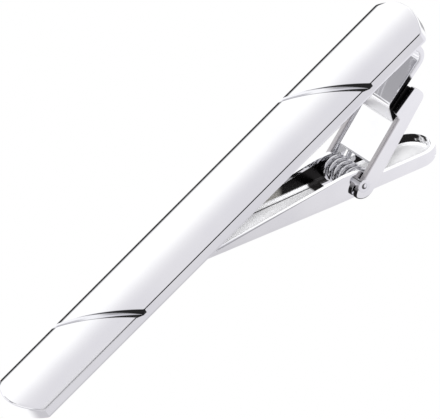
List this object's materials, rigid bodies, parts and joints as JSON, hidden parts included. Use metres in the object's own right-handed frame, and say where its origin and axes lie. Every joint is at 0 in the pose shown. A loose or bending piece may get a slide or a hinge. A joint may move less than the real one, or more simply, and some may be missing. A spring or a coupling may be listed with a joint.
{
  "type": "tie clip",
  "caption": "Polished tie clip: a domed straight bar with diagonal grooves, and under it a sprung pinch clasp whose lever closes on the bar's back.",
  "frame": {"origin": "centre of the bar's flat back, where the cloth lies", "axes": "+X along the bar towards the clasp end, +Z out of the bar's face, +Y across the bar"},
  "size_m": [0.058, 0.0078, 0.0165],
  "materials": {
    "polished_bar": "mirror-polished plating",
    "plated_sheet": "bright plating over pressed sheet",
    "plated_rivet": "bright plating, rounded by riveting",
    "spring_wire": "drawn spring wire"
  },
  "bodies": {
    "clip": {"front_bar": "polished_bar", "bracket": "plated_sheet", "pivot_rivet": "plated_rivet", "torsion_spring": "spring_wire"},
    "lever": {"jaw_lever": "plated_sheet"}
  },
  "joints": [
    {"name": "lever_pivot", "type": "hinge", "parent": "clip", "child": "lever", "pos_m": [0.01365, 0, -0.0085], "axis": [0, -1, 0], "range_deg": [0, 30], "stiffness_Nm_per_rad": 0.02, "springref_deg": -68.75, "deforming": ["torsion_spring"]}
  ]
}
